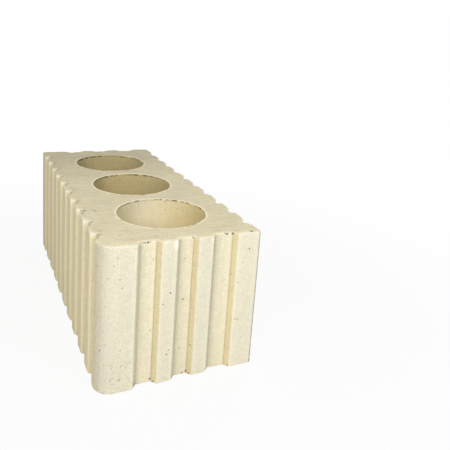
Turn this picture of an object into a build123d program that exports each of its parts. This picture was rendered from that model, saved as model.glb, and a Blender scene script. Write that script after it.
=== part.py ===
from build123d import *
from math import atan2, degrees, isclose
import os

# Fluted clay facing brick: a column extruded through a die, then cut to height by a wire.
# Millimetres, +Z up, origin at the centre of the bottom bed.
# Length runs along X and width along Y, and the holes and flutes run along Z.

# Outline: one vertical corner is rounded, at +X and -Y, and the other three are sharp
length = 200.0
width = 85.0
height = 77.0
rounded_corner = 9.0
sharp_corner = 1.2

# Round holes in a row, right through from bed to bed, a little away from the rounded corner
hole_diameter = 49.4
hole_web = 9.4
least_end_wall = 15.0
hole_row_shift = 1.3

# Section of one flute: a shallow channel whose walls slope outwards
flute_depth = 3.0
wall_slope_run = 2.4
root_radius = 0.6
lip_radius = 0.7

# Flutes along each long side, all alike, as a group that sits nearer the rounded end
side_flute_width = 8.75
side_rib = 9.45
side_group_shift = 2.1
least_side_land = 10.0

# Flutes across each end, of three widths, as a group that sits away from the rounded corner
end_flute_widths = (12.4, 11.5, 14.0)
end_rib = 7.8
end_group_shift = 2.4

hole_pitch = hole_diameter + hole_web
hole_count = int((length - 2 * least_end_wall + hole_web) / hole_pitch)
side_pitch = side_flute_width + side_rib
side_flute_count = int((length - 2 * least_side_land + side_rib) / side_pitch)
wall_angle = degrees(atan2(flute_depth, wall_slope_run))


def spread(mouth_widths, rib, shift):
    """Pair each mouth width with the place of its centre, for a row of flutes about the shifted middle."""
    start = shift - (sum(mouth_widths) + rib * (len(mouth_widths) - 1)) / 2
    row = []
    for mouth_width in mouth_widths:
        row.append((start + mouth_width / 2, mouth_width))
        start += mouth_width + rib
    return row


def flute(mouth_width):
    """Cut one flute with its mouth on the local X axis and its floor towards local +Y."""
    Trapezoid(
        mouth_width,
        flute_depth,
        wall_angle,
        align=(Align.CENTER, Align.MIN),
        mode=Mode.SUBTRACT,
    )


def on_a_side(point):
    return isclose(abs(point.Y), width / 2, abs_tol=0.001)


def on_an_end(point):
    return isclose(abs(point.X), length / 2, abs_tol=0.001)


with BuildPart() as brick:
    with BuildSketch() as section:
        Rectangle(length, width)

        # The same flutes face each other across the brick, and from end to end
        for along, mouth in spread([side_flute_width] * side_flute_count, side_rib, side_group_shift):
            with Locations(Location((along, -width / 2), 0), Location((along, width / 2), 180)):
                flute(mouth)
        for across, mouth in spread(end_flute_widths, end_rib, end_group_shift):
            with Locations(Location((length / 2, across), 90), Location((-length / 2, across), -90)):
                flute(mouth)

        # The die leaves no knife edges: roots and lips are eased, and so are the four corners
        roots = section.vertices().filter_by(lambda v: not (on_a_side(v) or on_an_end(v)))
        fillet(roots, root_radius)
        lips = section.vertices().filter_by(lambda v: on_a_side(v) != on_an_end(v))
        fillet(lips, lip_radius)
        corners = section.vertices().filter_by(lambda v: on_a_side(v) and on_an_end(v))
        fillet(corners.sort_by_distance((length / 2, -width / 2))[0], rounded_corner)
        corners = section.vertices().filter_by(lambda v: on_a_side(v) and on_an_end(v))
        fillet(corners, sharp_corner)
    extrude(amount=height)

    with Locations((0, hole_row_shift)):
        with GridLocations(hole_pitch, 0, hole_count, 1):
            Hole(hole_diameter / 2)

brick.part.label = "brick"

os.makedirs("parts", exist_ok=True)
export_step(brick.part, "parts/brick.step")
print("holes", hole_count, "side flutes", side_flute_count)
print("clay", round(brick.part.volume / 1000, 1), "cubic centimetres")
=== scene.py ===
# %% [markdown]
# # A fluted clay brick, as it comes from the kiln
# The brick is one piece of extruded clay: a die gives it its flutes and its three round holes, and
# a wire cuts it to height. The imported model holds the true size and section. This script dresses it:
# it builds a finer skin on that section, with soft edges, chips and drag marks, and gives the fired
# clay its colour and grain.

import bpy
import math
import random

import numpy as np
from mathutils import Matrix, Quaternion, Vector, noise
from mathutils.geometry import delaunay_2d_cdt


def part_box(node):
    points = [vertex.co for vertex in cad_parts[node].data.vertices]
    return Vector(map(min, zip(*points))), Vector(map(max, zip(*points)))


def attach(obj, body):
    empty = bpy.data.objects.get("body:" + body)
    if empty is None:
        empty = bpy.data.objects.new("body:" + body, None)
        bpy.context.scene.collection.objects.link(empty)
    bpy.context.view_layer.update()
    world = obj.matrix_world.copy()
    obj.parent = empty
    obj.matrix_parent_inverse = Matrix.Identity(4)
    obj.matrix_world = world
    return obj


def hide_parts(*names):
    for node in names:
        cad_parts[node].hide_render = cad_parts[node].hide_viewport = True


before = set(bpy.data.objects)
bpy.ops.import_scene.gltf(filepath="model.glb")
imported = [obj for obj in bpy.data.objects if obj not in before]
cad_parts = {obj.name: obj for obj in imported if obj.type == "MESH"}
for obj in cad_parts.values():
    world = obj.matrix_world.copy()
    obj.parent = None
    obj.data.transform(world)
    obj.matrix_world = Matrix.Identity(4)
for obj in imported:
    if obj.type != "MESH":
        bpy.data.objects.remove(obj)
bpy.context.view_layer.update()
cad_low, cad_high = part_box("brick")
print("packed model box", tuple(cad_low), tuple(cad_high))

# %% [markdown]
# ## Sizes
# Everything is in metres, in the model's own frame. The outline is read from the model, so only
# the sizes of the finish are written here, with a small helper for millimetres.

# %% Sizes of the finish
MM = 0.001
LENGTH = cad_high.x - cad_low.x
WIDTH = cad_high.y - cad_low.y
HEIGHT = cad_high.z - cad_low.z
print("brick", round(LENGTH / MM), "x", round(WIDTH / MM), "x", round(HEIGHT / MM), "mm")

# %% [markdown]
# ## Section
# An extruded brick has one section all the way up. Its walls meet the bottom bed in closed loops:
# one outline and one loop for each hole. Walking from wall face to wall face along the bed gives
# those loops in order, and the area of each loop tells the outline from the holes.

# %% Walk round the bottom bed
def bed_loops(cad_object):
    """Return the closed loops where upright walls meet the bottom bed, the largest first."""
    mesh = cad_object.data
    next_point = {}
    for face in mesh.polygons:
        if abs(face.normal.z) > 0.5:
            continue
        ring = [mesh.vertices[i].co for i in face.vertices]
        for a, b in zip(ring, ring[1:] + ring[:1]):
            if max(a.z, b.z) < cad_low.z + 0.01 * MM:
                next_point[(round(a.x, 6), round(a.y, 6))] = (round(b.x, 6), round(b.y, 6))
    loops = []
    while next_point:
        start, point = next_point.popitem()
        loop = [start]
        while point != start:
            loop.append(point)
            point = next_point.pop(point)
        loops.append(np.array(loop))
    return sorted(loops, key=lambda loop: -np.ptp(loop[:, 0]))


loops = bed_loops(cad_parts["brick"])
outline_loop = loops[0]
centres = [loop.mean(axis=0) for loop in loops[1:]]
radii = [np.linalg.norm(loop - centre, axis=1).max() for loop, centre in zip(loops[1:], centres)]
holes = sorted(zip(centres, radii), key=lambda hole: -hole[0][0])
print("outline corners", len(outline_loop))
print("holes from the near end", [(round(x / MM, 1), round(r / MM, 1)) for (x, _), r in holes])

# %% [markdown]
# ## Points along the outline
# A skin that shows soft lips needs close points round each bend and few on the flats. The outline
# is first read at a very fine step and smoothed a little, as a worn die does. Then points are
# picked with gaps that grow away from the bends.

# %% Pick points along the outline
FINE_STEP = 0.05 * MM
DIE_SOFTNESS = 0.10 * MM
NORMAL_SOFTNESS = 0.22 * MM
BEND_TURN = 0.05
BEND_REACH = 0.6 * MM
BEND_GAP = 0.34 * MM
FLAT_GAP = 1.5 * MM
GAP_GROWTH = 0.45


def blur_round(values, width_in_steps):
    """Smooth values along a closed line with a bell curve."""
    reach = int(4 * width_in_steps)
    weights = np.exp(-0.5 * (np.arange(-reach, reach + 1) / width_in_steps) ** 2)
    weights /= weights.sum()
    wrapped = np.concatenate([values[-reach:], values, values[:reach]])
    return np.convolve(wrapped, weights, mode="valid")


def read_outline(loop):
    """Return outline points and their outward normals."""
    closed = np.vstack([loop, loop[:1]])
    edges = np.diff(closed, axis=0)
    lengths = np.linalg.norm(edges, axis=1)
    along = np.concatenate([[0], np.cumsum(lengths)])
    total = along[-1]
    fine = np.arange(0, total, total / round(total / FINE_STEP))
    x = np.interp(fine, along, closed[:, 0])
    y = np.interp(fine, along, closed[:, 1])
    heading = edges / lengths[:, None]
    turn = np.abs(np.cross(np.roll(heading, 1, axis=0), heading))
    bends = along[:-1][turn > BEND_TURN]
    to_bend = np.abs(fine[:, None] - bends[None, :])
    to_bend = np.minimum(to_bend, total - to_bend).min(axis=1)
    gap = np.clip(BEND_GAP + GAP_GROWTH * (to_bend - BEND_REACH), BEND_GAP, FLAT_GAP)
    share = np.concatenate([[0], np.cumsum(FINE_STEP / gap)])
    count = math.ceil(share[-1])
    picks = np.interp(np.arange(count) * share[-1] / count, share[:-1], fine)
    places = np.column_stack([blur_round(v, DIE_SOFTNESS / FINE_STEP) for v in (x, y)])
    guide = np.column_stack([blur_round(v, NORMAL_SOFTNESS / FINE_STEP) for v in (x, y)])
    ahead = np.roll(guide, -1, axis=0) - np.roll(guide, 1, axis=0)
    normals = np.column_stack([ahead[:, 1], -ahead[:, 0]])
    normals /= np.linalg.norm(normals, axis=1)[:, None]
    index = np.round(picks / FINE_STEP).astype(int) % len(fine)
    return places[index], normals[index]


outline, outline_normals = read_outline(outline_loop)
print("outline points", len(outline))

# %% Points round each hole
HOLE_GAP = 1.25 * MM


def read_hole(centre, radius):
    """Return points round a hole and the normals that point into the hole, away from the clay."""
    count = round(2 * math.pi * radius / HOLE_GAP)
    angles = -2 * math.pi * np.arange(count) / count
    inward = -np.column_stack([np.cos(angles), np.sin(angles)])
    return centre - inward * radius, inward


rings = [(outline, outline_normals)] + [read_hole(centre, radius) for centre, radius in holes]
print("points round the rings", [len(points) for points, _ in rings])

# %% [markdown]
# ## Walls
# Each ring of points becomes a wall from bed to bed. The wall turns into the bed over a small
# round edge, whose size wanders because fired clay crumbles unevenly. Rows lie close together
# near the beds, where the chips are, and wider apart in between.

# %% Random values that change smoothly over the clay
def wander(points, feature, seed):
    """Return a value from about -1 to 1 for each point. Feature is a patch's size along each axis."""
    away = Vector((seed * 17.3, seed * 5.1, seed * 9.7))
    fx, fy, fz = feature
    return np.array([noise.noise(Vector((x / fx, y / fy, z / fz)) + away) for x, y, z in points])


# %% Heights of the rows
EDGE_ROWS = 4
ROW_GAP = (0.55 * MM, 2.1 * MM)
ROW_GROWTH = 0.28


def graded_fractions():
    """Return fractions of the wall's height, close together at both ends."""
    fine = np.linspace(0, HEIGHT, 2001)
    to_end = np.minimum(fine, HEIGHT - fine)
    gap = np.clip(ROW_GAP[0] + ROW_GROWTH * to_end, *ROW_GAP)
    share = np.concatenate([[0], np.cumsum(np.diff(fine) / gap[1:])])
    count = math.ceil(share[-1])
    return np.interp(np.linspace(0, share[-1], count + 1), share, fine) / HEIGHT


row_fractions = graded_fractions()
print("rows on a wall", len(row_fractions) + 2 * EDGE_ROWS)

# %% Build one wall
SKIN_INSET = 0.15 * MM
BED_RISE = 0.05 * MM
TOP_DROP = 0.20 * MM
EDGE_SIZE = 0.42 * MM
EDGE_WANDER = 0.35 * MM
EDGE_PATCH = 5 * MM
LEAST_EDGE = 0.15 * MM
END_ZONE = 6 * MM
END_WEAR = {"bottom": -0.20 * MM, "top": 0.45 * MM}


def on_level(points, level):
    """Give flat points a height."""
    return np.column_stack([points, np.full(len(points), level)])


def build_wall(points, normals, inset):
    """Return the wall's rows of 3-D points, from the bottom bed's edge to the top bed's edge."""
    start = points - normals * inset
    near_end = np.clip(normals[:, 0], 0, 1) * (points[:, 0] > LENGTH / 2 - END_ZONE)
    edges = []
    for bed, level, seed in (("bottom", 0.0, 3), ("top", HEIGHT, 4)):
        size = EDGE_SIZE + EDGE_WANDER * wander(on_level(points, level), (EDGE_PATCH,) * 3, seed)
        size += near_end * END_WEAR[bed]
        edges.append(np.clip(size, LEAST_EDGE, None))

    def edge_row(step, edge, level, up):
        """Return one row of the round edge between the wall and a bed."""
        lean = math.radians(90 * step / EDGE_ROWS)
        flat = start - normals * (edge * (1 - math.sin(lean)))[:, None]
        return np.column_stack([flat, level - up * edge * (1 - math.cos(lean))])

    bottom_edge, top_edge = edges
    floor, ceiling = BED_RISE, HEIGHT - TOP_DROP
    low, high = floor + bottom_edge, ceiling - top_edge
    rows = [edge_row(step, bottom_edge, floor, -1) for step in range(EDGE_ROWS)]
    rows += [np.column_stack([start, low + (high - low) * fraction]) for fraction in row_fractions]
    rows += [edge_row(step, top_edge, ceiling, 1) for step in reversed(range(EDGE_ROWS))]
    return np.array(rows)


insets = [SKIN_INSET] + [0.0] * len(holes)
walls = [build_wall(*ring, inset) for ring, inset in zip(rings, insets)]
wall_sizes = [wall[:, :, 0].size for wall in walls]
print("wall points", wall_sizes)

# %% [markdown]
# ## Beds
# The two cut faces are flat sheets with three holes. Their edge points are the walls' last rows, so
# the skin stays closed. A constrained triangulation joins those edges to a field of points in
# between, and the triangles that fall outside the clay are dropped.

# %% Fill a bed between the outline and the holes
BED_GAP = 1.60 * MM
EDGE_GAP = 0.85 * MM
EDGE_BELT = 4.0 * MM
EDGE_CLEAR = 0.55 * MM
ROW_SPACING = 0.87
UNEVENNESS = 0.2


def inside(points, ring):
    """Tell which points lie inside a closed ring."""
    x, y = points[:, :1], points[:, 1:]
    ax, ay = ring[:, 0], ring[:, 1]
    bx, by = np.roll(ax, -1), np.roll(ay, -1)
    crosses = (ay > y) != (by > y)
    run = np.where(by == ay, 1, by - ay)
    return (crosses & (x < ax + (y - ay) * (bx - ax) / run)).sum(axis=1) % 2 == 1


def in_clay(points, bed_rings):
    """Tell which points lie inside the outline and outside every hole."""
    result = inside(points, bed_rings[0])
    for ring in bed_rings[1:]:
        result &= ~inside(points, ring)
    return result


def fill_bed(bed_rings, seed):
    """Return flat points, edge rings first, and the triangles between them."""
    chance = np.random.default_rng(seed)
    edge_points = np.vstack(bed_rings)
    fields = []
    for gap, low, high in ((EDGE_GAP, EDGE_CLEAR, EDGE_BELT), (BED_GAP, EDGE_BELT, LENGTH)):
        across = np.arange(-WIDTH / 2, WIDTH / 2, gap * ROW_SPACING)
        along = np.arange(-LENGTH / 2, LENGTH / 2, gap)
        field = np.array([(x + (row % 2) * gap / 2, y) for row, y in enumerate(across) for x in along])
        field += chance.uniform(-UNEVENNESS, UNEVENNESS, field.shape) * gap
        field = field[in_clay(field, bed_rings)]
        nearest = np.array([np.hypot(*(edge_points - point).T).min() for point in field])
        fields.append(field[(nearest > low) & (nearest < high)])
    points = np.vstack([edge_points] + fields)
    links = []
    first = 0
    for ring in bed_rings:
        links += [(first + i, first + (i + 1) % len(ring)) for i in range(len(ring))]
        first += len(ring)
    _, _, faces, origin, _, _ = delaunay_2d_cdt([Vector(p) for p in points / MM], links, [], 0, 1e-5)
    triangles = np.array([[origin[corner][0] for corner in face] for face in faces])
    middles = points[triangles].mean(axis=1)
    return points, triangles[in_clay(middles, bed_rings)]


beds = [fill_bed([wall[row][:, :2] for wall in walls], seed) for row, seed in ((0, 11), (-1, 12))]
print("bed triangles", [len(triangles) for _, triangles in beds])

# %% [markdown]
# ## One closed skin
# Walls and beds share their edge points, so the whole brick can be one mesh with no open seam.
# Each point also keeps the direction that leads out of the clay, because every dent and bump that
# follows moves its points along that direction.

# %% Directions on a wall
def wall_directions(wall, normals):
    """Return the direction out of the clay for every point of a wall, turning into the beds at its ends."""
    rows, count, _ = wall.shape
    lean = np.full(rows, 90.0)
    lean[:EDGE_ROWS] = 90 * np.arange(EDGE_ROWS) / EDGE_ROWS
    lean[-EDGE_ROWS:] = lean[:EDGE_ROWS][::-1]
    side = np.where(np.arange(rows) < EDGE_ROWS, -1, 1)
    directions = np.empty((rows, count, 3))
    directions[:, :, :2] = normals[None] * np.sin(np.radians(lean))[:, None, None]
    directions[:, :, 2] = (side * np.cos(np.radians(lean)))[:, None]
    return directions


# %% Put the walls and beds together
grids = []
faces = []
total = 0
for wall in walls:
    rows, count, _ = wall.shape
    grid = total + np.arange(rows * count).reshape(rows, count)
    right = np.roll(grid, -1, axis=1)
    faces += np.stack([grid[:-1], right[:-1], right[1:], grid[1:]], axis=2).reshape(-1, 4).tolist()
    grids.append(grid)
    total += rows * count

points = [wall.reshape(-1, 3) for wall in walls]
directions = [wall_directions(wall, normals).reshape(-1, 3) for wall, (_, normals) in zip(walls, rings)]
for (flat, triangles), row, level, up in zip(beds, (0, -1), (BED_RISE, HEIGHT - TOP_DROP), (-1, 1)):
    edge_ids = np.concatenate([grid[row] for grid in grids])
    field = flat[len(edge_ids):]
    ids = np.concatenate([edge_ids, total + np.arange(len(field))])
    points.append(on_level(field, level))
    directions.append(np.tile([0.0, 0.0, up], (len(field), 1)))
    a, b, c = flat[triangles].transpose(1, 0, 2)
    clockwise = np.cross(b - a, c - a) * up < 0
    triangles = np.where(clockwise[:, None], triangles[:, ::-1], triangles)
    faces += ids[triangles].tolist()
    total += len(field)

points = np.vstack(points)
directions = np.vstack(directions)
print("skin points", len(points), "faces", len(faces), "triangles", sum(len(face) - 2 for face in faces))

# %% [markdown]
# ## What each point is part of
# The finish depends on the place: the lands carry a pale bloom, the flutes show warmer clay, and the
# holes and the cut beds each have a look of their own. These shares are worked out once from the
# clean section and stored on the points, where the material reads them.

# %% Shares of bed, hole, flute and slope
CORNER_REACH = 9.5 * MM
FLUTE_DEPTH = 3.0 * MM


def ramp(values, start, end):
    """Return 0 at the start, 1 at the end, a straight rise between them and no more beyond."""
    return np.clip((values - start) / (end - start), 0, 1)


on_outline = np.arange(len(points)) < wall_sizes[0]
in_hole = ~on_outline & (np.arange(len(points)) < sum(wall_sizes))
bed_share = np.abs(directions[:, 2]) ** 2
bore_share = np.where(in_hole, 1 - bed_share, 0.0)

to_end = LENGTH / 2 - np.abs(points[:, 0])
to_side = WIDTH / 2 - np.abs(points[:, 1])
round_corner = (points[:, 0] > LENGTH / 2 - CORNER_REACH) & (points[:, 1] < CORNER_REACH - WIDTH / 2)
sunk = ramp(np.minimum(to_end, to_side), SKIN_INSET, SKIN_INSET + FLUTE_DEPTH)
sunk = np.where(on_outline & ~round_corner, sunk, 0.0)
sideways = np.clip(np.linalg.norm(directions[:, :2], axis=1), 0.01, None)
facing = np.abs(directions[:, :2]).max(axis=1) / sideways
slope_share = np.where(on_outline & ~round_corner, ramp(facing, 0.97, 0.85), 0.0)
print("sunk", round(sunk.max(), 2), "slope points", int((slope_share > 0.5).sum()))

# %% Lips and roots of the flutes
FULL_BEND = 0.5


def bend_share(normals):
    """Return lip and root shares from 0 to 1 for the points of an outline."""
    turn = np.cross(normals, np.roll(normals, -1, axis=0))
    turn = turn + np.roll(turn, 1)
    return ramp(turn, 0, FULL_BEND), ramp(turn, 0, -FULL_BEND)


def up_the_outline(ring_values):
    """Repeat the values of the outline on every row of its wall. All other points get 0."""
    values = np.zeros(len(points))
    values[on_outline] = np.tile(ring_values, len(walls[0]))
    return values


lip_ring, root_ring = bend_share(outline_normals)
lip_share = np.maximum(up_the_outline(lip_ring) * (1 - bed_share), 4 * bed_share * (1 - bed_share))
root_share = up_the_outline(root_ring) * (1 - bed_share)
print("lip points", int((lip_share > 0.5).sum()), "root points", int((root_share > 0.5).sum()))

# %% [markdown]
# While the brick dries, the air comes from one side. It draws salts out on the faces that it meets
# first, and they fire to a pale cream. The slopes of the flutes that look away from the air, and
# the holes, keep the plain yellow of the clay. The cut beds lie in between.

# %% Share of pale bloom
AIR_FROM = np.array([0.6, 0.8])
LEAST_LAND_BLOOM = 0.24
FLUTE_LESS = 0.36
HOLE_PAINTED_LIGHT = 0.10
FIRST_HOLE_PAINTED_LIGHT = 0.50
BED_BLOOM = 0.30

to_air = directions[:, :2] @ AIR_FROM
land_bloom = LEAST_LAND_BLOOM + (1 - LEAST_LAND_BLOOM) * ramp(to_air, -0.8, -0.05)
slope_bloom = ramp(to_air, -0.15, 0.75)
outside_bloom = land_bloom * (1 - slope_share) + slope_bloom * slope_share
outside_bloom = outside_bloom * (1 - FLUTE_LESS * sunk)
# The hole walls that face the near end get the pale colour as painted light, most in the first hole.
near_hole = ramp(points[:, 0], 15 * MM, 35 * MM)
bore_painted_light = (HOLE_PAINTED_LIGHT + FIRST_HOLE_PAINTED_LIGHT * near_hole) * np.clip(directions[:, 0], 0, 1)
bloom = np.where(on_outline, outside_bloom, bore_painted_light) * (1 - bed_share) + BED_BLOOM * bed_share
print("bloom from", round(bloom.min(), 2), "to", round(bloom.max(), 2))

# %% [markdown]
# The foot of each flute's sheltered wall and the floor beside it carry a painted shadow: the soft
# shadow that the land beside them casts in a light that comes past the flutes at a slant. To find
# that shadow, lines are drawn from each point of the outline towards the light, and the share of
# them that meets clay is counted.

# %% Share of painted shadow
SHADOW_LIGHT_FROM = -57
SHADOW_LIGHT_SPREAD = (-14, -7, 0, 7, 14)
SHADOW_REACH = 9 * MM
SHADOW_TOP = 1.4 * MM


def meets_clay(starts, heading):
    """Tell which straight lines of SHADOW_REACH from the starts cross the outline."""
    ahead = SHADOW_REACH * heading
    a, b = outline, np.roll(outline, -1, axis=0)
    edge = b - a
    gap = a[None] - starts[:, None]
    cross = ahead[0] * edge[:, 1] - ahead[1] * edge[:, 0]
    cross = np.where(np.abs(cross) < 1e-12, 1e-12, cross)
    along_line = (gap[..., 0] * edge[:, 1] - gap[..., 1] * edge[:, 0]) / cross
    along_edge = (gap[..., 0] * ahead[1] - gap[..., 1] * ahead[0]) / cross
    hits = (along_line > 0.02) & (along_line < 1) & (along_edge >= 0) & (along_edge < 1)
    return hits.any(axis=1)


on_end = LENGTH / 2 - np.abs(outline[:, 0]) < WIDTH / 2 - np.abs(outline[:, 1])
side_normals = np.sign(outline) * np.column_stack([on_end, ~on_end])

painted_shadow_ring = np.zeros(len(outline))
for turn in SHADOW_LIGHT_SPREAD:
    angle = math.radians(SHADOW_LIGHT_FROM + turn)
    heading = np.array([math.cos(angle), math.sin(angle)])
    for way in (1, -1):
        met = side_normals @ (way * heading) > 0
        starts = outline[met] + outline_normals[met] * 0.05 * MM
        painted_shadow_ring[met] += meets_clay(starts, way * heading) / len(SHADOW_LIGHT_SPREAD)

painted_shadow = up_the_outline(painted_shadow_ring) * (1 - bed_share) * ramp(points[:, 2], HEIGHT, HEIGHT - SHADOW_TOP)
print("points in the lee", int((painted_shadow > 0.5).sum()))

# %% [markdown]
# Other places are painted lighter or darker than the clay around them. A painted highlight runs along
# the lips, the flat faces of the long side get painted shade, and the rounded corner is painted darker
# where it turns from the light. The flute floors get painted bounce light, a thin line of painted shade
# lies in the crease at the foot of the warm walls, and the last land of the near end is painted a little
# lighter. A thin dark line lies on two of the sharp corners. All of these add up in one number for each
# point, the painted light and shade.

# %% Painted light and shade on the walls
LIP_HIGHLIGHT_WIDTH = 1.9 * MM
SIDE_HIGHLIGHT = 0.25
SIDE_SHADE_DARKER = 0.04
END_HIGHLIGHT = 0.05
CORNER_SHADE_DARKER = 0.13
FLOOR_BOUNCE_LIGHT = 0.085
ROOT_SHADE_DARKER = 0.05
WARM_ROOT_SHADE_DARKER = 0.24
PAINTED_SHADOW_DARKER = 0.21
LAST_LAND = (24 * MM, 27 * MM)
LAST_LAND_LIGHT = 0.05
CORNER_DARK_LINES = ((99.5, 42.2, 0.85), (-99.5, -42.2, 0.55))
CORNER_DARK_WIDTH = 0.85 * MM


def bell(distance, width):
    """Return 1 at no distance and fade to almost 0 at twice the width."""
    return np.exp(-(distance / width) ** 2)


# Painted highlight along the lips that face the light, and painted shade on the flat faces of the long
# side.
lip_points = outline[lip_ring > 0.6]
lip_to_air = outline_normals[lip_ring > 0.6] @ AIR_FROM
to_lips = np.linalg.norm(outline[:, None] - lip_points[None], axis=2)
lit_lips = ramp(lip_to_air[to_lips.argmin(axis=1)], -0.9, -0.3)
lip_highlight_ring = bell(to_lips.min(axis=1), LIP_HIGHLIGHT_WIDTH) * lit_lips
lip_highlight_ring = np.where(on_end, END_HIGHLIGHT * lip_highlight_ring, SIDE_HIGHLIGHT * lip_highlight_ring - SIDE_SHADE_DARKER)

out_x, out_y = directions[:, 0], directions[:, 1]
on_near_end = on_outline & (points[:, 0] > LENGTH / 2 - 4 * MM) & (out_x > 0.3)
# Painted shade on the rounded corner where it turns from the light.
corner_shade = np.clip(-out_y, 0, 1) * ramp(out_x, 0, 0.15) * (on_outline & round_corner)
# Painted bounce light on the flute floors.
on_floor = sunk * (1 - slope_share) * (np.abs(out_x) > 0.9)
# Painted shade in the crease at the foot of each flute wall, strongest at the warm walls.
root_crease_shade = root_share * (ROOT_SHADE_DARKER + WARM_ROOT_SHADE_DARKER * slope_share * (1 - painted_shadow))

light_and_shade = up_the_outline(lip_highlight_ring) * (1 - sunk) - CORNER_SHADE_DARKER * corner_shade + FLOOR_BOUNCE_LIGHT * on_floor
# Painted shade in the root creases and painted shadow beside each flute's sheltered wall.
light_and_shade -= root_crease_shade + PAINTED_SHADOW_DARKER * painted_shadow
# Painted light on the last land of the near end.
light_and_shade += LAST_LAND_LIGHT * on_near_end * ramp(points[:, 1], *LAST_LAND)
# A thin dark line down two of the sharp corners.
for x, y, dark in CORNER_DARK_LINES:
    to_corner = np.hypot(points[:, 0] - x * MM, points[:, 1] - y * MM)
    light_and_shade -= dark * on_outline * bell(to_corner, CORNER_DARK_WIDTH)
light_and_shade *= 1 - bed_share
print("tone from", round(light_and_shade.min(), 2), "to", round(light_and_shade.max(), 2))

# %% [markdown]
# The first hole is painted lighter, most on its far wall and lower down, as painted light falling into
# it; its right wall is lighter too, with a deeper yellow of painted shade. The other holes are painted
# darker and a deeper yellow, as painted shade. Seen from the near end, the left wall of each hole is
# painted darker than its right wall, as painted shade. The top bed is painted darker towards the far
# end, as painted shade.

# %% Painted light and shade in the holes and on the top bed
FIRST_HOLE_LIGHT = 0.24
RIGHT_WALL_LIGHT = 0.14
LEFT_WALL_SHADE = 0.19
OTHER_HOLES_SHADE = 0.05
LAST_HOLE_SHADE = 0.05
OTHER_LEFT_WALLS_SHADE = 0.26
HOLE_SHADE_SHARE = 0.9
FAR_TOP_SHADE = 0.20

deeper = ramp(points[:, 2], HEIGHT, HEIGHT - 12 * MM)
first_hole_light = FIRST_HOLE_LIGHT * np.clip(out_x, 0, 1) * (0.45 + 0.55 * deeper)
first_hole_light += RIGHT_WALL_LIGHT * np.clip(-out_y, 0, 1) - LEFT_WALL_SHADE * np.clip(out_y, 0, 1)
other_holes_shade = -OTHER_HOLES_SHADE - LAST_HOLE_SHADE * (points[:, 0] < -30 * MM)
other_holes_shade -= OTHER_LEFT_WALLS_SHADE * ramp(out_y, 0.45, 0.85)
# Painted light in the first hole and painted shade in the others, with a deeper yellow in the shade.
light_and_shade += bore_share * (first_hole_light * near_hole + other_holes_shade * (1 - near_hole))
hole_shade = bore_share * (HOLE_SHADE_SHARE - near_hole * (HOLE_SHADE_SHARE - 0.8 * np.clip(-out_y, 0, 1)))
to_far_end = ramp(points[:, 0], -10 * MM, -70 * MM)
# Painted shade on the top bed towards the far end.
light_and_shade -= FAR_TOP_SHADE * bed_share * (points[:, 2] > HEIGHT / 2) * to_far_end
print("deep yellow points", int((hole_shade > 0.5).sum()))

# %% [markdown]
# ## Relief
# The die leaves long faint streaks and slow waves up the walls. The cutting wire drags sand across
# the beds and leaves shallow scores that all run one way. Both are smooth random values that are
# stretched along the way the clay or the wire moved.

# %% Streaks up the walls and scores across the beds
BED_SINK = 0.02 * MM
DRAG_HEADING = math.radians(97)
drag_along = np.array([math.cos(DRAG_HEADING), math.sin(DRAG_HEADING)])
drag_across = np.array([-drag_along[1], drag_along[0]])


def relief_of(places, height, feature, seed):
    """Return smooth random heights. The height and the patch size are in millimetres."""
    return height * MM * wander(places, np.array(feature) * MM, seed)


streaks = relief_of(points, 0.04, (1.7, 1.7, 60), 21)
waves = relief_of(points, 0.10, (15, 15, 32), 22)
grain = relief_of(points, 0.04, (1.9, 1.9, 2.3), 23)

turned = np.column_stack([points[:, :2] @ drag_across, points[:, :2] @ drag_along, points[:, 2]])
scores = relief_of(turned, 0.09, (1.6, 26, 20), 24)
hollows = relief_of(turned, 0.08, (11, 19, 20), 25)

wall_relief = streaks + waves + grain
bed_relief = scores + hollows + grain - BED_SINK
relief = wall_relief * (1 - bed_share) + bed_relief * bed_share
print("relief from", round(relief.min() / MM, 2), "to", round(relief.max() / MM, 2), "mm")

# %% [markdown]
# ## Torn rims
# Where the wire leaves the clay it drags a thin lip over the edge and tears the wall just under it.
# At a hole that makes a small overhang on one side, with a painted shadow line under it, and on the
# other side a slightly raised rim whose edge carries a painted highlight.

# %% Lips and tears at the rims of the holes
RIM_PATCH = 4 * MM
LIP_REACH = 0.30 * MM
RIM_HIGHLIGHT = 0.22
TEAR_DEPTH = 0.30 * MM
TEAR_BELOW = 0.95 * MM
SHADE_BELOW = 0.75 * MM
SHADE_DARKER = 0.35

rim = np.zeros(len(points))
for grid, (centre, radius) in zip(grids[1:], holes):
    for level, seed, strength in ((HEIGHT - TOP_DROP, 31, 1.0), (BED_RISE, 32, 0.6)):
        ids = grid.ravel()
        below = np.abs(points[ids, 2] - level)
        side = ((points[ids, :2] - centre) / radius) @ -drag_across
        patchy = wander(points[ids] * [1, 1, 0], (RIM_PATCH,) * 3, seed) + 0.45
        patchy = np.clip(patchy * 1.6, 0, 1) * strength
        pulled = np.clip(0.55 + 0.6 * side, 0.15, 1)
        torn = np.clip(0.60 - 0.5 * side, 0.2, 1)
        lip = LIP_REACH * bell(below, 0.45 * MM) * pulled
        tear = TEAR_DEPTH * bell(below - TEAR_BELOW, 0.5 * MM) * torn
        rim[ids] += (lip - tear) * patchy * (1 - bed_share[ids] * 0.5)
        # Painted shadow under the torn lip, and a painted highlight on the rim's edge.
        light_and_shade[ids] -= SHADE_DARKER * bell(below - SHADE_BELOW, 0.42 * MM) * patchy * torn
        light_and_shade[ids] += RIM_HIGHLIGHT * bell(below, 0.35 * MM) * (0.4 + 0.6 * pulled)
print("rims reach", round(rim.max() / MM, 2), "mm, tears", round(rim.min() / MM, 2), "mm")

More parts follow.
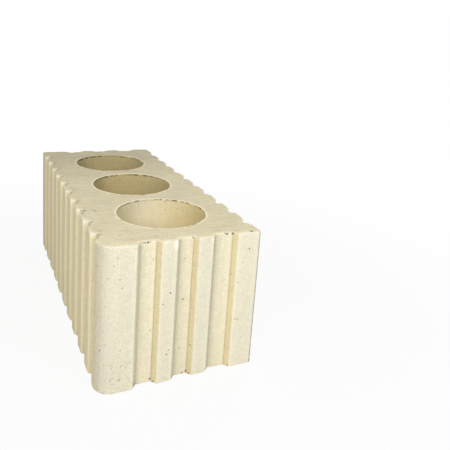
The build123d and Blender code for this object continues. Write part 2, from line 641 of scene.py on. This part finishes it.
# %% Raised clay along the edges of the top bed, with a painted highlight
RAISED = 0.14 * MM
EDGE_HIGHLIGHT = 0.16
LONG_EDGE_HIGHLIGHT_LESS = 0.13
HOLE_EDGE_HIGHLIGHT = 0.14

top_ids = np.flatnonzero(directions[:, 2] > 0.99)
every_edge = np.vstack([wall[-1][:, :2] for wall in walls])
to_rim = np.array([np.hypot(*(every_edge - p).T).min() for p in points[top_ids, :2]])
raised = np.zeros(len(points))
raised_patches = np.clip(0.3 + 1.2 * wander(points[top_ids], (6 * MM,) * 3, 33), 0, 1)
raised[top_ids] = RAISED * raised_patches * bell(to_rim, 1.1 * MM)
on_long_edge = ramp(np.abs(points[top_ids, 1]), 36 * MM, 39 * MM)
# Painted highlight along the edges of the top bed and round the holes.
light_and_shade[top_ids] += (EDGE_HIGHLIGHT - LONG_EDGE_HIGHLIGHT_LESS * on_long_edge) * bell(to_rim, 0.9 * MM)
for centre, radius in holes:
    from_hole = np.hypot(*(points[top_ids, :2] - centre).T) - radius
    light_and_shade[top_ids] += HOLE_EDGE_HIGHLIGHT * bell(from_hole, 0.7 * MM)

skin = points + directions * (relief + rim * (1 - bed_share) + raised)[:, None]
print("top bed points", len(top_ids), "raised by up to", round(raised.max() / MM, 2), "mm")

# %% [markdown]
# ## Chips
# Fired clay is brittle, so it loses small shells along every sharp edge when bricks knock together.
# A chip is cut here with a ball that stands outside the clay: every point inside the ball is pushed
# back to its surface. A ball whose size wanders leaves a hollow with a crisp, uneven border.

# %% Scoop clay away with a ball
BALL_LUMPS = 0.10
BALL_ROUGHNESS = 0.04
FULLY_BROKEN = 0.25 * MM

fresh = np.zeros(len(points))


def scoop(place, outward, radius, depth, seed=0):
    """Push the skin back to a ball whose nearest point lies depth inside the given place."""
    outward = np.array(outward, dtype=float)
    outward /= np.linalg.norm(outward)
    centre = np.array(place) + outward * (radius - depth)
    near = np.flatnonzero(np.linalg.norm(skin - centre, axis=1) < radius * 1.25)
    away = skin[near] - centre
    lumpy = BALL_LUMPS * wander(skin[near], (radius * 0.45,) * 3, seed)
    rough = BALL_ROUGHNESS * wander(skin[near], (1.2 * MM,) * 3, seed + 1)
    ball = radius * (1 + lumpy + rough)
    along = away @ outward
    room = ball ** 2 - (away ** 2).sum(axis=1) + along ** 2
    push = np.where(room > 0, along + np.sqrt(np.clip(room, 0, None)), 0)
    inside_ball = (away ** 2).sum(axis=1) < ball ** 2
    push = np.where(inside_ball, push, 0)
    skin[near] -= outward * push[:, None]
    fresh[near] = np.maximum(fresh[near], ramp(push, 0, FULLY_BROKEN))


# %% Find the lips of the flutes
def find_lips(ring, normals):
    """Return the corners of an outline that point out of the clay, with the way each one points."""
    turn = np.cross(normals, np.roll(normals, -1, axis=0))
    bend = turn + np.roll(turn, 1) + np.roll(turn, -1)
    keep = (bend > 0.25) & (bend >= np.roll(bend, 1)) & (bend > np.roll(bend, -1))
    return ring[keep], normals[keep]


lips, lip_normals = find_lips(outline, outline_normals)
print("lips and corners", len(lips))

# %% [markdown]
# Chips come in two kinds here. The larger ones sit where the real brick lost clay, so each has its
# own place. The many small ones are spread by a seeded draw along the edges of both beds, with
# more of them at the lips, because a corner breaks more easily than a straight edge.

# %% Small chips spread along the bed edges
BED_LEVELS = (0.0, HEIGHT)
CHIPS_END = LENGTH / 2 - 8 * MM
LIP_CHIP_SHARE = 0.62
EDGE_CHIPS = 46
chance = random.Random(7)


def chip(place, outward, radii, depths):
    """Scoop out a chip. Its radius and depth are drawn between two limits in millimetres."""
    scoop(place, outward, chance.uniform(*radii) * MM, chance.uniform(*depths) * MM, chance.randrange(1000))


def edge_place(place, normal, level):
    """Return a point on a bed's edge and the way out of the clay there."""
    up = 1 if level > HEIGHT / 2 else -1
    x, y = np.array(place) - np.array(normal) * SKIN_INSET
    z = level - up * (TOP_DROP if up > 0 else BED_RISE)
    return (x, y, z), np.array([normal[0], normal[1], 0.9 * up])


for level in BED_LEVELS:
    for place, normal in zip(lips, lip_normals):
        if chance.random() < LIP_CHIP_SHARE and place[0] < CHIPS_END:
            chip(*edge_place(place, normal, level), (1.2, 3.4), (0.35, 1.0))
    for _ in range(EDGE_CHIPS):
        pick = chance.randrange(len(outline))
        where, out = edge_place(outline[pick], outline_normals[pick], level)
        if where[0] < CHIPS_END:
            chip(where, out, (1.5, 4.5), (0.30, 0.75))

print("points on fresh breaks", int((fresh > 0.5).sum()))

# %% Nicks up the lips of the flutes
NICK_TRIES = 2
NICK_SHARE = 0.5

for place, normal in zip(lips, lip_normals):
    for _ in range(NICK_TRIES):
        if chance.random() < NICK_SHARE:
            level = chance.uniform(4 * MM, HEIGHT - 4 * MM)
            x, y = place - normal * SKIN_INSET
            chip((x, y, level), (normal[0], normal[1], 0), (1.0, 2.6), (0.25, 0.5))

# %% Small chips at the rims of the holes
RIM_CHIPS = 9

for (centre, radius), level in [(hole, level) for hole in holes for level in BED_LEVELS]:
    for _ in range(RIM_CHIPS):
        angle = chance.uniform(0, 2 * math.pi)
        heading = np.array([math.cos(angle), math.sin(angle)])
        chip(*edge_place(centre + heading * radius, -heading, level), (1.0, 3.2), (0.3, 0.7))

print("points on fresh breaks", int((fresh > 0.5).sum()))

# %% [markdown]
# ## Damage with a place of its own
# The near end met other bricks while the clay was soft. Its bottom edge is pushed up a little, the
# flutes are dented where they meet the top bed, and every rib of the long side ends in a torn lump.
# A dab paints light or shade onto the clay around a place, and a lift moves it upwards.

# %% Dabs and lifts
def at(x, y, z):
    """Return a place given in millimetres."""
    return np.array([x, y, z]) * MM


def nearness(place, reach):
    """Return 1 at the place and less away from it. Reach is in millimetres along each axis."""
    gap = (points - place) / (np.array(reach) * MM)
    return np.exp(-(gap ** 2).sum(axis=1))


def paint_light_or_shade(place, reach, amount):
    """Paint light onto the clay, or shade with an amount below 0."""
    light_and_shade[:] += amount * nearness(place, reach)


def lift(place, reach, height):
    """Move the skin up by a height in millimetres."""
    skin[:, 2] += height * MM * nearness(place, reach)


# %% Pushed-up bottom edge of the near end
FOOT_AT = (-12, -4, 7, 15, 24)
FOOT_LIFT = (0.0, 0.3, 0.2, 0.6, 0.0)
FOOT_INWARDS = 6 * MM
FOOT_UPWARDS = 7 * MM

foot = np.interp(points[:, 1], np.array(FOOT_AT) * MM, np.array(FOOT_LIFT) * MM)
from_end = np.clip(LENGTH / 2 - points[:, 0], 0, None)
foot *= bell(from_end, FOOT_INWARDS) * ramp(points[:, 2], FOOT_UPWARDS, 0)
skin[:, 2] += foot * (points[:, 0] > 0)
print("foot pushed up by", round(foot.max() / MM, 2), "mm")

# %% Dents where the flutes of the near end meet the top bed
scoop(at(97.0, -19.3, 76.9), (1, 0, 1), 2.8 * MM, 0.9 * MM, 51)
# The dabs here are painted highlights where broken clay and the land tops face the light.
paint_light_or_shade(at(97.2, -19.6, 75.6), (0.8, 3.0, 1.0), 0.14)
scoop(at(98.9, -3.0, 76.7), (0.6, 0.6, 1), 2.4 * MM, 1.0 * MM, 52)
paint_light_or_shade(at(99.7, -4.7, 74.8), (1.3, 1.2, 2.0), 0.40)
scoop(at(99.6, 15.2, 74.6), (1, -0.5, 0.6), 2.2 * MM, 0.8 * MM, 53)
for y in (5.2, 21.2, 24.3):
    scoop(at(97.0, y, 76.8), (1, 0, 1), 1.3 * MM, 0.6 * MM, 54)
for y, wide in ((-33, 9), (-9, 3), (2, 4), (11, 3), (22, 5), (35, 5)):
    paint_light_or_shade(at(98.5, y, 76.6), (3.5, wide, 0.8), 0.09)
print("points on fresh breaks", int((fresh > 0.5).sum()))

# %% Torn lumps at the tops of the ribs
LUMPS_END = 90
lumps = 0
for place, normal in zip(lips, lip_normals):
    x, y = place / MM
    if normal[1] < -0.1 and normal[0] > 0.1 and y < -40 and x < LUMPS_END:
        lumps += 1
        size = chance.uniform(0.85, 1.15)
        lump = nearness(at(x + 0.9, -41.2, 76.9), (2.4 * size, 2.0, 1.6 * size))
        # The lump is painted pale as a highlight, on top of the colour of its fresh break, and the dark
        # dabs beside it are painted shadow.
        light_and_shade += 0.19 * lump
        fresh = np.maximum(fresh, np.clip(1.6 * lump, 0, 1))
        paint_light_or_shade(at(x - 3.0, -42.2, 76.9), (3.2, 0.9, 0.8), 0.06)
        lift(at(x + 0.9, -41.0, 77), (1.8, 1.5, 1.5), 0.2)
        seed = chance.randrange(1000)
        scoop(at(x + 3.0, -39.4, 77), (0.3, -0.2, 1), 1.5 * size * MM, 0.6 * size * MM, seed)
        paint_light_or_shade(at(x + 3.4, -38.9, 77), (1.1, 1.0, 0.9), -0.55 * size)
        paint_light_or_shade(at(x + 1.2, -40.4, 77), (0.7, 0.7, 0.8), -0.22)
        paint_light_or_shade(at(x - 1.0, -38.6 + size, 77), (2.6, 0.8, 0.8), -0.14)
print("lumps", lumps, "tone from", round(light_and_shade.min(), 2), "to", round(light_and_shade.max(), 2))

# %% [markdown]
# ## The mesh
# The points and faces become one object. The shares and the painted light and shade are kept as point
# attributes, which the clay material reads to change its colour over the brick.

# %% Make the brick's skin
def add_object(name, data):
    """Put a new object into the scene and return it."""
    item = bpy.data.objects.new(name, data)
    bpy.context.collection.objects.link(item)
    return item


skin[:, 0] = np.clip(skin[:, 0], -LENGTH / 2, LENGTH / 2)
skin[:, 1] = np.clip(skin[:, 1], -WIDTH / 2, WIDTH / 2)
skin[:, 2] = np.clip(skin[:, 2], 0, HEIGHT)

mesh = bpy.data.meshes.new("brick_skin")
mesh.from_pydata(skin.tolist(), [], faces)
mesh.update()
mesh.shade_smooth()
brick = add_object("brick_skin", mesh)

kept = {
    "bloom": bloom, "lip": lip_share, "bed": bed_share, "bore": bore_share,
    "fresh": fresh, "light_and_shade": light_and_shade, "hole_shade": hole_shade,
}
for name, values in kept.items():
    layer = mesh.attributes.new(name, "FLOAT", "POINT")
    layer.data.foreach_set("value", values.astype(np.float32))
print("skin from", (skin.min(axis=0) / MM).round(2), "to", (skin.max(axis=0) / MM).round(2), "mm")
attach(brick, "root")
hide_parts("brick")

# %% [markdown]
# ## Shader sums
# A material is a chain of small nodes. Written as sums they are far easier to read, so this class
# wraps one socket and lets ordinary arithmetic add the Math nodes behind it.

# %% A socket that can be used in sums
class Flow:
    """One output socket of a material, ready for sums. A plain number may stand on either side."""

    def __init__(self, tree, socket=None):
        self.tree = tree
        self.socket = socket

    def node(self, kind, settings=None, sockets=None, out=0):
        """Add any node: its settings first, then its sockets. Return one of its outputs."""
        node = self.tree.nodes.new(kind)
        for name, value in (settings or {}).items():
            setattr(node, name, value)
        for slot, value in (sockets or {}).items():
            if isinstance(value, Flow):
                self.tree.links.new(value.socket, node.inputs[slot])
            else:
                node.inputs[slot].default_value = value
        return Flow(self.tree, node.outputs[out] if node.outputs else None)

    def math(self, operation, *values):
        return self.node("ShaderNodeMath", {"operation": operation}, dict(enumerate(values)))

    def __add__(self, other):
        return self.math("ADD", self, other)

    def __radd__(self, other):
        return self.math("ADD", other, self)

    def __sub__(self, other):
        return self.math("SUBTRACT", self, other)

    def __rsub__(self, other):
        return self.math("SUBTRACT", other, self)

    def __mul__(self, other):
        return self.math("MULTIPLY", self, other)

    def __rmul__(self, other):
        return self.math("MULTIPLY", other, self)

    def rise(self, low, high):
        """Return 0 below low, 1 above high, and a soft rise in between."""
        settings = {"interpolation_type": "SMOOTHSTEP"}
        return self.node("ShaderNodeMapRange", settings, {"Value": self, "From Min": low, "From Max": high})


# %% Colours go through their own nodes
def blend(share, under, over):
    """Lay one colour over another by a share from 0 to 1."""
    return share.node("ShaderNodeMix", {"data_type": "RGBA"}, {0: share, 6: under, 7: over}, out=2)


def tint(colour, factor):
    """Make a colour lighter or darker by a varying factor."""
    return colour.node("ShaderNodeVectorMath", {"operation": "SCALE"}, {0: colour, "Scale": factor})


def open_tree(owner):
    """Empty the node tree of a material or a world and return a Flow to start from."""
    owner.use_nodes = True
    owner.node_tree.nodes.clear()
    return Flow(owner.node_tree)


# %% [markdown]
# ## Fired clay
# Yellow-firing clay is never one colour. Where the die pressed it smooth, salts dried on the surface
# and left a pale cream bloom. The flutes and the cut beds stay warmer. Sand grains, small dark iron
# spots and pin holes lie all over, and streaks follow the way the clay came out of the die.

# %% Textures measured in millimetres
clay = bpy.data.materials.new("fired_clay_finish")
pen = open_tree(clay)
here = pen.node("ShaderNodeTexCoord", out="Object")
here = pen.node("ShaderNodeVectorMath", {"operation": "SCALE"}, {0: here, "Scale": 1000.0})


def patches(size, detail=2.0, stretch=(1, 1, 1), roughness=0.5):
    """Return smooth random values from 0 to 1 with patches of a size in millimetres."""
    squeezed = pen.node("ShaderNodeVectorMath", {"operation": "DIVIDE"}, {0: here, 1: stretch})
    sockets = {"Vector": squeezed, "Scale": 1 / size, "Detail": detail, "Roughness": roughness}
    return pen.node("ShaderNodeTexNoise", sockets=sockets)


def spots(spacing, radius, seldom):
    """Return faint to strong round spots, in millimetres. Seldom is the share of spots left out."""
    sockets = {"Vector": here, "Scale": 1 / spacing}
    apart = pen.node("ShaderNodeTexVoronoi", sockets=sockets, out="Distance")
    lot = pen.node("ShaderNodeTexVoronoi", sockets=sockets, out="Color")
    lot = pen.node("ShaderNodeSeparateColor", sockets={0: lot})
    size = radius / spacing
    return (1 - apart.rise(size * 0.5, size)) * lot.rise(seldom, seldom + 0.3)


# %% Shares read back from the points
def share_of(name):
    """Read one of the shares kept on the points."""
    return pen.node("ShaderNodeAttribute", {"attribute_name": name}, out="Fac")


bloom_part = share_of("bloom")
bed_part = share_of("bed")
bore_part = share_of("bore")
broken = share_of("fresh")
lip_part = share_of("lip")
light_and_shade_part = share_of("light_and_shade")
hole_shade_part = share_of("hole_shade")

# %% Colour of the clay
BODY = (0.755, 0.645, 0.392, 1)
HOLE_SHADE_COLOUR = (0.700, 0.580, 0.300, 1)
CREAM = (0.825, 0.738, 0.500, 1)
BLOOM = (0.835, 0.785, 0.612, 1)
WORN_AND_HIGHLIGHT = (0.900, 0.865, 0.730, 1)
BREAK = (0.885, 0.835, 0.660, 1)
# The dark colour below serves iron spots and pin holes, and also the painted shadows in chips and under the
# rims.
IRON_AND_SHADOW = (0.210, 0.158, 0.085, 1)
LIME = (0.920, 0.900, 0.810, 1)

cloud = patches(14, 3)
mottle = patches(3.0, 3)
sand = patches(0.70, 2, roughness=0.7)

pale = bloom_part * (0.80 + 0.28 * cloud + 0.14 * mottle)
colour = blend(pale.rise(0.0, 0.35), BODY, CREAM)
colour = blend(pale.rise(0.25, 0.95), colour, BLOOM)
# Painted shade in the holes, as a deeper yellow.
colour = blend(hole_shade_part, colour, HOLE_SHADE_COLOUR)
colour = blend(broken * 0.55, colour, BREAK)
# The lips and rounded edges are paler from wear, with a painted highlight on top.
colour = blend(lip_part * 0.4, colour, WORN_AND_HIGHLIGHT)

# %% Lighter and darker clay, with the painted light and shade kept on the points
streak = patches(1.3, 2, stretch=(1, 1, 30))
drag = patches(1.5, 2, stretch=(1, 12, 1))

light = 0.67 + 0.06 * cloud + 0.13 * mottle + 0.50 * sand + light_and_shade_part
light = light + 0.08 * (streak - 0.5) * (1 - bed_part) + 0.34 * (drag - 0.5) * bed_part
light = light + 0.22 * (patches(9, 3) - 0.5) * bed_part
colour = tint(colour, light)

# %% Iron spots, pin holes and grains of lime
iron = spots(2.4, 0.34, 0.60)
pin_holes = spots(4.1, 0.46, 0.66)
lime = spots(3.7, 0.5, 0.70)
colour = blend(lime * 0.45, colour, LIME)
colour = blend(iron * 0.75, colour, IRON_AND_SHADOW)
colour = blend(pin_holes * 0.65, colour, IRON_AND_SHADOW)

# %% [markdown]
# Dark specks that can be picked out in the picture get places of their own, and so do the painted
# shadows in the small chips along the top edge and under the bottom edge of the near end. Each is a
# place in millimetres, a radius and a strength. A patch of fine pits lies low on the first land.

# %% Specks, and painted shadows in chips, with a place of their own
SPECKS = (
    (100, -33.7, 71.1, 0.65, 0.50), (99.8, -35.4, 67.2, 0.60, 0.40), (99.0, -37.7, 61.0, 0.60, 0.50),
    (100, -32.4, 60.3, 0.65, 0.50), (100, -31.1, 55.7, 0.65, 0.50), (100, -6.8, 49.5, 0.70, 0.90),
    (100, -10.4, 43.9, 0.55, 0.95), (97, 1.2, 65.4, 0.60, 0.50), (97, -15.4, 67.0, 0.60, 0.60),
    (97, 1.3, 43.2, 0.75, 0.75), (100, 35.9, 67.7, 0.70, 0.85), (100, 32.6, 60.5, 0.60, 0.45),
    (100, 30.6, 49.4, 0.65, 0.40), (100, 30.7, 28.2, 0.50, 0.90), (100, 32.4, 27.9, 0.50, 0.80),
    (100, -6.3, 17.9, 0.65, 0.60), (100, -7.3, 15.7, 0.70, 0.80), (97, 0.8, 15.5, 0.80, 0.45),
    (98.5, -22.9, 34.1, 0.75, 0.60), (97, -15.4, 29.1, 0.60, 0.60), (97, 24.0, 50.7, 0.50, 0.45),
    (96.6, -40.5, 23.2, 0.65, 0.70), (100, -31.2, 23.0, 0.65, 0.50), (100, -31.4, 7.1, 0.70, 0.70),
    (86.1, -29.5, 77, 0.80, 0.55), (90.6, -12.7, 77, 0.80, 0.40), (90.7, -6.8, 77, 0.80, 0.45),
    (45.8, -38.3, 77, 1.00, 0.75), (46.6, -33.9, 77, 0.90, 0.70), (47.9, -33.0, 77, 0.80, 0.75),
    (84.6, -42.5, 45.8, 0.60, 0.60), (83.9, -42.5, 63.0, 0.60, 0.60),
)
TOP_CHIP_SHADOWS = (
    (97.0, -21.0, 76.3, 0.7, 0.60), (96.9, -19.8, 76.2, 0.8, 0.90), (96.9, -18.4, 76.1, 0.9, 0.95),
    (96.9, -17.2, 76.3, 0.6, 0.60), (99.3, 15.6, 75.6, 0.9, 0.75), (99.2, 15.3, 71.8, 0.8, 0.65),
    (96.9, 22.6, 76.4, 0.7, 0.80), (96.9, 23.8, 76.0, 0.9, 0.95), (97.1, 26.8, 76.0, 0.9, 0.90),
    (97.0, 4.8, 76.2, 0.8, 0.60), (98.9, -3.4, 75.2, 0.8, 0.45), (98.6, 37.2, 77, 1.2, 0.90),
    (98.2, 36.2, 77, 0.9, 0.50),
)
FOOT_SHADOWS = (
    (98.5, -23.2, 1.6, 1.5, 0.60), (97.0, -14.6, 1.8, 0.8, 0.85), (98.2, -13.4, 0.6, 0.9, 0.85),
    (98.5, -3.0, 0.9, 1.0, 0.70), (98.4, 16.4, 0.8, 1.0, 0.60), (97.0, 3.0, 0.9, 0.8, 0.75),
    (97.2, 5.0, 1.5, 0.9, 0.85), (98.3, 6.2, 0.8, 0.7, 0.75), (97.8, 27.0, 1.2, 0.7, 0.60),
    (99.0, 28.6, 0.7, 0.6, 0.60), (98.0, -12.8, 1.3, 0.6, 0.85), (99.6, 41.8, 1.4, 0.9, 0.80),
)
PIT_PATCH = (100, -32, 9)
PIT_FADE = (4.0, 13.0)


def apart_from(spot):
    """Return the distance in millimetres from a place."""
    return pen.node("ShaderNodeVectorMath", {"operation": "DISTANCE"}, {0: here, 1: spot}, out="Value")


# The specks are real dark spots; the top and foot marks are painted shadow.
for x, y, z, radius, strength in SPECKS + TOP_CHIP_SHADOWS + FOOT_SHADOWS:
    mark = (1 - apart_from((x, y, z)).rise(radius * 0.4, radius)) * strength
    colour = blend(mark, colour, IRON_AND_SHADOW)

pits = spots(1.7, 0.38, 0.40) * (1 - apart_from(PIT_PATCH).rise(*PIT_FADE))
colour = blend(pits * 0.36, colour, IRON_AND_SHADOW)
print("specks and pits", len(SPECKS + TOP_CHIP_SHADOWS + FOOT_SHADOWS))

# %% [markdown]
# The cutting wire tore small crumbs out of the wall just under the rims of the holes, and the lip above
# casts its shadow into them. They show as a broken dark line of painted shadow. Each rim has the level
# and the height of its line and a list of dashes. A dash is its middle and half its length, in degrees
# round the hole, and a strength.

# %% Broken line of painted shadow under the rims
OWN_WALL = 25.5
RIM_SHADOW_LINES = (
    (76.35, 0.70, (
        (81, 2, 0.4), (96, 4, 0.9), (105, 2, 0.4), (122, 3, 0.7), (131, 3, 0.5), (142, 4, 1.0),
        (153, 2, 0.5), (162, 2, 0.8), (168, 4, 0.5), (196, 3, 0.9), (200, 2, 0.5), (213, 7, 0.7),
        (231, 9, 0.6),
    )),
    (76.1, 0.95, (
        (131, 3, 0.6), (143, 4, 0.8), (158, 4, 0.8), (190, 3, 0.6), (198, 3, 0.8), (210, 6, 0.9),
        (222, 5, 0.8), (236, 8, 0.9), (251, 5, 0.7),
    )),
    (75.8, 1.10, (
        (146, 2, 0.6), (175, 4, 0.3), (186, 4, 0.7), (200, 8, 0.7), (214, 5, 0.8), (229, 8, 1.0),
        (241, 4, 0.7), (287, 3, 0.6),
    )),
)


def rim_shadow_share(middle, tall, dashes):
    """Return how dark the painted shadow line under one rim is. The middle is that of the hole, at the
    line's level.
    """
    aside = pen.node("ShaderNodeVectorMath", {"operation": "SUBTRACT"}, {0: here, 1: middle})
    split = {axis: pen.node("ShaderNodeSeparateXYZ", sockets={0: aside}, out=axis) for axis in "XYZ"}
    turn = pen.math("ARCTAN2", split["Y"], split["X"]) * math.degrees(1)
    turn = pen.math("WRAP", turn, 360.0, 0.0)
    dark = 0.0
    for angle, half, strength in dashes:
        off = pen.math("ABSOLUTE", turn - angle)
        dark = dark + (1 - off.rise(half * 0.6, half + 0.6)) * strength
    return dark * (1 - pen.math("ABSOLUTE", split["Z"]).rise(0.15, tall)) * bore_part


for (centre, _), (level, tall, dashes) in zip(holes, RIM_SHADOW_LINES):
    middle = (*(centre / MM), level)
    elsewhere = apart_from(middle).rise(OWN_WALL, OWN_WALL + 1)
    colour = blend(rim_shadow_share(middle, tall, dashes) * (1 - elsewhere), colour, IRON_AND_SHADOW)
print("dashes under the rims", sum(len(dashes) for _, _, dashes in RIM_SHADOW_LINES))

# %% Grain of the clay
height = 0.22 * sand + 0.16 * mottle + 0.16 * streak * (1 - bed_part) - 0.45 * pin_holes - 0.3 * pits
grain_normal = pen.node("ShaderNodeBump", sockets={"Strength": 1.0, "Distance": 1 * MM, "Height": height})
rough = 0.82 + 0.12 * mottle
skin_shader = pen.node(
    "ShaderNodeBsdfPrincipled",
    sockets={"Base Color": colour, "Roughness": rough, "Normal": grain_normal, "Specular IOR Level": 0.3},
)
pen.node("ShaderNodeOutputMaterial", sockets={"Surface": skin_shader})
brick.data.materials.append(clay)
print("clay nodes", len(clay.node_tree.nodes))

# %% [markdown]
# ## Floor and background
# The brick stands on a plain pale floor that fades to white, as in a catalogue picture. Near the
# brick the floor is an ordinary matt surface, so the brick's shadow lies on it.

# %% A round floor that fades to white
FLOOR_RADIUS = 3.0
FLOOR_CORNERS = 96
FLOOR_WHITE = 0.915
FLOOR_FADE = (0.12, 0.36)

angles = [2 * math.pi * i / FLOOR_CORNERS for i in range(FLOOR_CORNERS)]
edge = [(FLOOR_RADIUS * math.cos(angle), FLOOR_RADIUS * math.sin(angle), 0) for angle in angles]
floor_mesh = bpy.data.meshes.new("floor")
floor_mesh.from_pydata(edge, [], [list(range(FLOOR_CORNERS))])
floor = add_object("floor", floor_mesh)


def to_the_eye(pen):
    """Return 1 where the eye looks, also in a gloss or through glass, and 0 for light that only falls."""
    seen = pen.node("ShaderNodeLightPath", out="Is Camera Ray")
    for ray in ("Is Glossy Ray", "Is Transmission Ray"):
        seen = pen.math("MAXIMUM", seen, pen.node("ShaderNodeLightPath", out=ray))
    return seen


paper = bpy.data.materials.new("pale_floor")
pen = open_tree(paper)
spot = pen.node("ShaderNodeTexCoord", out="Object")
reach = pen.node("ShaderNodeVectorMath", {"operation": "LENGTH"}, {0: spot}, out="Value")
white = to_the_eye(pen) * (FLOOR_WHITE + (1 - FLOOR_WHITE) * reach.rise(*FLOOR_FADE))
matt = pen.node("ShaderNodeBsdfDiffuse", sockets={"Color": (0.80, 0.80, 0.79, 1)})
glow = pen.node("ShaderNodeEmission", sockets={"Color": (1, 1, 1, 1), "Strength": 1.0})
sheet = pen.node("ShaderNodeMixShader", sockets={0: white, 1: matt, 2: glow})
pen.node("ShaderNodeOutputMaterial", sockets={"Surface": sheet})
floor.data.materials.append(paper)
print("floor reaches", FLOOR_RADIUS, "m")

# %% A white room
ROOM_LIGHT = 0.46

world = bpy.data.worlds.new("white_room")
pen = open_tree(world)
strength = ROOM_LIGHT + (1 - ROOM_LIGHT) * to_the_eye(pen)
room = pen.node("ShaderNodeBackground", sockets={"Color": (1, 1, 1, 1), "Strength": strength})
pen.node("ShaderNodeOutputWorld", sockets={"Surface": room})
bpy.context.scene.world = world
print("light of the room on the brick", ROOM_LIGHT)

# %% [markdown]
# ## Light
# Two soft lamps stand close to the near end, one on each side of the camera, near enough to fade
# along the brick. The left one draws the shadows in the flutes and the right one opens them. A low
# lamp behind the brick lights the two sides that the picture hides.

# %% Soft lamps
NEAR_END_AIM = (0.09, 0.0, 0.045)
MIDDLE_AIM = (0.0, 0.0, 0.045)


def softbox(name, spot, aim, size, power):
    """Hang a square lamp at a spot and turn it to its aim."""
    lamp = bpy.data.lights.new(name, "AREA")
    lamp.shape = "SQUARE"
    lamp.size = size
    lamp.energy = power
    holder = add_object(name, lamp)
    holder.location = spot
    holder.rotation_euler = (Vector(aim) - Vector(spot)).to_track_quat("-Z", "Y").to_euler()


softbox("key_lamp", (0.320, -0.256, 0.286), NEAR_END_AIM, 0.17, 0.60)
softbox("front_lamp", (0.422, 0.089, 0.286), NEAR_END_AIM, 0.24, 0.53)
softbox("back_lamp", (-0.484, 0.484, 0.190), MIDDLE_AIM, 0.40, 1.70)

# %% [markdown]
# ## Camera
# The place, aim, tilt and lens were worked out from the corners, holes and flutes in the picture,
# so the render can be laid over it.

# %% Place the camera
CAMERA_PLACE = (0.32111, -0.09368, 0.17323)
CAMERA_AIM = (0.0, 0.06756, 0.09918)
CAMERA_ROLL = 4.134
LENS = 41.618
FRAME_SHIFT = -0.1717

camera_data = bpy.data.cameras.new("camera")
camera_data.sensor_width = 36
camera_data.lens = LENS
camera_data.shift_y = FRAME_SHIFT
camera_data.clip_start = 0.01
camera = add_object("camera", camera_data)
camera.location = CAMERA_PLACE
aim = (Vector(CAMERA_AIM) - Vector(CAMERA_PLACE)).to_track_quat("-Z", "Y")
camera.rotation_euler = (aim @ Quaternion((0, 0, 1), math.radians(CAMERA_ROLL))).to_euler()
bpy.context.scene.camera = camera
print("camera", round((Vector(CAMERA_PLACE) - Vector(CAMERA_AIM)).length, 3), "m from its aim")
bpy.context.scene.view_settings.view_transform = "Standard"
